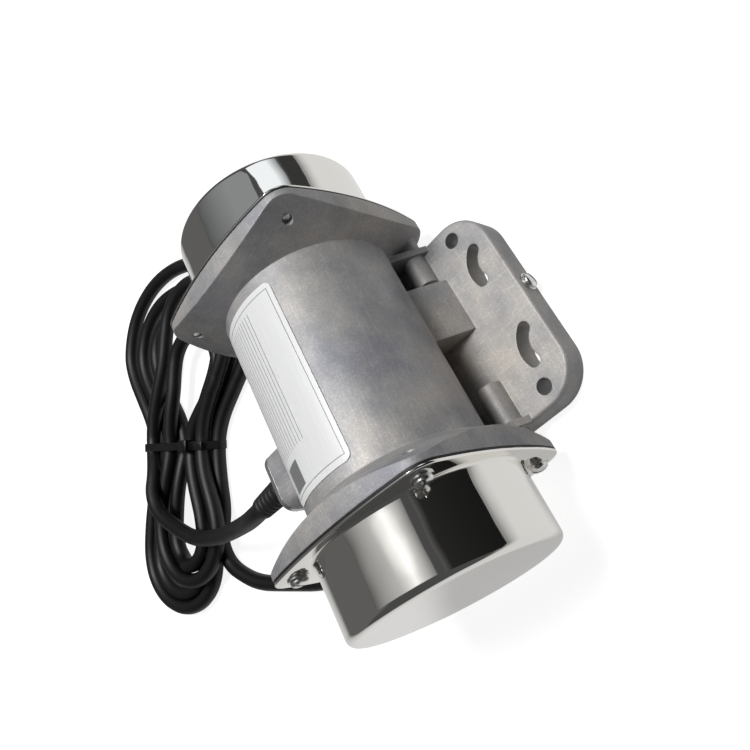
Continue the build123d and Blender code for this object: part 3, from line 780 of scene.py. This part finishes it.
def strap_block(low_corner, high_corner, inset):
    """A block with chamfered edges, in the strap's directions: along the hank, across, up."""
    (u_low, s_low, z_low), (u_high, s_high, z_high) = low_corner, high_corner
    c = inset * 0.6
    rings = []
    for z, cut in ((z_low, inset), (z_low + inset, 0), (z_high - inset, 0), (z_high, inset)):
        u0, s0, u1, s1 = u_low + cut, s_low + cut, u_high - cut, s_high - cut
        ring = [
            (u0 + c, s0), (u1 - c, s0), (u1, s0 + c), (u1, s1 - c),
            (u1 - c, s1), (u0 + c, s1), (u0, s1 - c), (u0, s0 + c),
        ]
        rings.append([mm(*hank_point(u, s, z)) for u, s in ring])
    return rings_mesh(rings)


strap_lock = strap_block((-3.4, 14.5, 14.6), (3.4, 21.5, 19.2), 0.5)
strap_tail = strap_block((-2.4, 20.5, 15.6), (2.4, 33.0, 16.7), 0.3)
strap = new_mesh("tie_strap", *joined((strap_band, strap_lock, strap_tail)), looks["tie_plastic"])
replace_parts(strap, "cable_tie")

# Cores fanned out past the cut end of the sheath: colour, then the core's place across the
# cord and up, and how far it fans out
cores = {
    "brown": ((0.13, 0.045, 0.02), -1, 1, -1.5),
    "blue": ((0.02, 0.07, 0.26), -1, -1, -0.5),
    "grey": (grey(0.20), 1, -1, 0.5),
    "green": ((0.05, 0.20, 0.04), 1, 1, 1.5),
}
core_spread, core_sunk, core_length, core_fan = 1.5, 2, 22, 5
core_radius, core_rest, bare_radius, bare_length = 1.15, 1.4, 0.75, 5
tail_end = Vector(tail_route[-1])
tail_run = (tail_end - Vector(tail_route[-2])).normalized()
tail_side = Vector((-tail_run.y, tail_run.x, 0))
core_pieces = []
for name, (colour, across, rise, fan) in cores.items():
    root = tail_end - tail_run * core_sunk + tail_side * across * core_spread
    root.z += rise * core_spread
    bends = [root]
    for share in (0.3, 0.6, 1.0):
        spot = root + tail_run * core_length * share + tail_side * fan * core_fan * share**1.4
        spot.z = root.z + (core_rest - root.z) * min(1, share * 1.5)
        bends.append(spot)
    core = spline_curve(f"core_{name}", bends, core_radius, rubber(f"core_{name}", colour, 0.4))
    tip = bends[-1]
    end_run = (tip - bends[-2]).normalized()
    bare_route = [tip - end_run, tip + end_run * 2, tip + end_run * bare_length]
    bare = spline_curve(f"strands_{name}", bare_route, bare_radius, looks["conductor"])
    for piece, slot_name in ((core, "wire_insulation"), (bare, "conductor")):
        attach(piece, "housing")
        core_pieces.append(piece)
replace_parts(core_pieces[0], "cord_cores")

# Floor. The camera sees it as white all over: its glow makes up for the lamp's light as that
# falls off. Mirrors see a soft band of light on it, which runs along the shaft's direction
# under the object. The band's stops count across it, from y = -1 m (0) to y = 1 m (1).
lamp_spot = (-0.35, 0.17, 1.38)
lamp_reach, near_glow, far_glow = 1.6, 0.86, 1.0
band_level = 0.44
floor_half, floor_drop = 6, 0.0002
floor_mesh = bpy.data.meshes.new("floor")
floor_mesh.from_pydata(
    [(x * floor_half, y * floor_half, 0) for x, y in ((-1, -1), (1, -1), (1, 1), (-1, 1))],
    [],
    [(0, 1, 2, 3)],
)
floor = placed("floor", floor_mesh)
floor.location.z = -floor_drop
ground = Shader("floor", grey(0.36), roughness=0.9, Emission_Color=(*WHITE, 1))
seen = ground.node("ShaderNodeLightPath").outputs
from_lamp = ground.node("ShaderNodeVectorMath", operation="DISTANCE")
from_lamp.inputs[1].default_value = (*lamp_spot[:2], 0)
ground.link(ground.place, from_lamp.inputs[0])
camera_level = ground.ranged(
    from_lamp.outputs["Value"], (0, lamp_reach), (near_glow, far_glow), "SMOOTHSTEP"
)
split = ground.node("ShaderNodeSeparateXYZ")
ground.link(ground.place, split.inputs[0])
band = ground.ramp(
    ground.ranged(split.outputs["Y"], (-1, 1), (0, 1)),
    (0.2, grey(0)),
    (0.45, grey(band_level)),
    (0.58, grey(band_level)),
    (0.66, grey(0)),
)
by_mirrors = ground.maths("MAXIMUM", seen["Is Glossy Ray"], seen["Is Transmission Ray"])
band_seen = ground.maths("MULTIPLY", by_mirrors, band)
glow = ground.maths("MULTIPLY_ADD", seen["Is Camera Ray"], camera_level, band_seen)
ground.link(glow, ground.main.inputs["Emission Strength"])
floor_mesh.materials.append(ground.material)

# Surround: white for the camera, dim for the object
world = bpy.data.worlds.new("studio")
scene.world = world
world.use_nodes = True
sky = NodeTree(world.node_tree)
by_camera = sky.node("ShaderNodeLightPath").outputs["Is Camera Ray"]
sky_colour = sky.mixed((0.07, 0.0715, 0.074), WHITE, by_camera)
sky.link(sky_colour, world.node_tree.nodes["Background"].inputs["Color"])

# One soft lamp over the object
lamp_data = bpy.data.lights.new("key", "AREA")
lamp_data.shape = "RECTANGLE"
lamp_data.size = 0.5
lamp_data.size_y = 0.5
lamp_data.energy = 16.0
lamp = placed("key", lamp_data)
lamp.location = lamp_spot
lamp.rotation_mode = "QUATERNION"
lamp.rotation_quaternion = (Vector((0, 0, 0.05)) - Vector(lamp_spot)).to_track_quat("-Z", "Y")


def stage_card(name, centre, across, up, levels, colour=WHITE, only_gloss=True):
    """A flat glowing card round the set, not seen by the camera.

    Its sides lie across and up from its centre. The levels are (share of the height, strength)
    from its lower to its upper edge.
    """
    centre, across, up = Vector(centre), Vector(across), Vector(up)
    around = ((-1, -1), (1, -1), (1, 1), (-1, 1))
    mesh = bpy.data.meshes.new(name)
    mesh.from_pydata([tuple(centre + across * x + up * y) for x, y in around], [], [(0, 1, 2, 3)])
    card_map = mesh.uv_layers.new(name="card")
    for loop, (x, y) in zip(card_map.data, around):
        loop.uv = ((x + 1) / 2, (y + 1) / 2)
    material = bpy.data.materials.new(name)
    material.use_nodes = True
    look = NodeTree(material.node_tree)
    look.tree.nodes.clear()
    split = look.node("ShaderNodeSeparateXYZ")
    look.link(look.node("ShaderNodeUVMap").outputs["UV"], split.inputs[0])
    top = max(strength for _, strength in levels)
    stops = [(share, tuple(c * strength / top for c in colour)) for share, strength in levels]
    glow = look.node("ShaderNodeEmission")
    glow.inputs["Strength"].default_value = top
    look.link(look.ramp(split.outputs["Y"], *stops), glow.inputs["Color"])
    look.link(glow.outputs[0], look.node("ShaderNodeOutputMaterial").inputs["Surface"])
    mesh.materials.append(material)
    card = placed(name, mesh)
    card.visible_camera = False
    card.visible_shadow = False
    card.visible_diffuse = not only_gloss


cool = (0.9, 0.95, 1.0)
stage_card(
    "far_ceiling",
    centre=(-1.27, 0.0, 1.30), across=(0.36, 0, 0), up=(0, 1.0, 0),
    levels=[(0, 0.1), (0.6, 0.3), (1, 0.3)],
    colour=cool,
)
stage_card(
    "ceiling",
    centre=(-0.20, -0.15, 1.30), across=(0.36, 0, 0), up=(0, 0.85, 0),
    levels=[(0, 0.1), (0.5, 0.5), (0.7, 1.0), (1, 0.2)],
)
stage_card(
    "dark_front",
    centre=(0.05, 0.38, 0.28), across=(0.26, 0, 0), up=(0, 0, 0.28),
    levels=[(0, 0.01), (0.8, 0.02), (1, 0.1)],
    only_gloss=False,
)
stage_card(
    "dark_low",
    centre=(-0.36, 0.38, 0.06), across=(0.15, 0, 0), up=(0, 0, 0.06),
    levels=[(0, 0.04), (1, 0.04)],
)
stage_card(
    "grey_back",
    centre=(-0.6, -1.0, 1.15), across=(1.4, 0, 0), up=(0, 0, 1.12),
    levels=[(0, 0.12), (1, 0.12)],
)
stage_card(
    "far_light",
    centre=(-0.72, 0.72, 0.48), across=(0.26, 0.20, 0), up=(-0.10, 0.10, 0.30),
    levels=[(0, 0.3), (0.25, 1.1), (1, 1.1)],
    colour=cool,
)
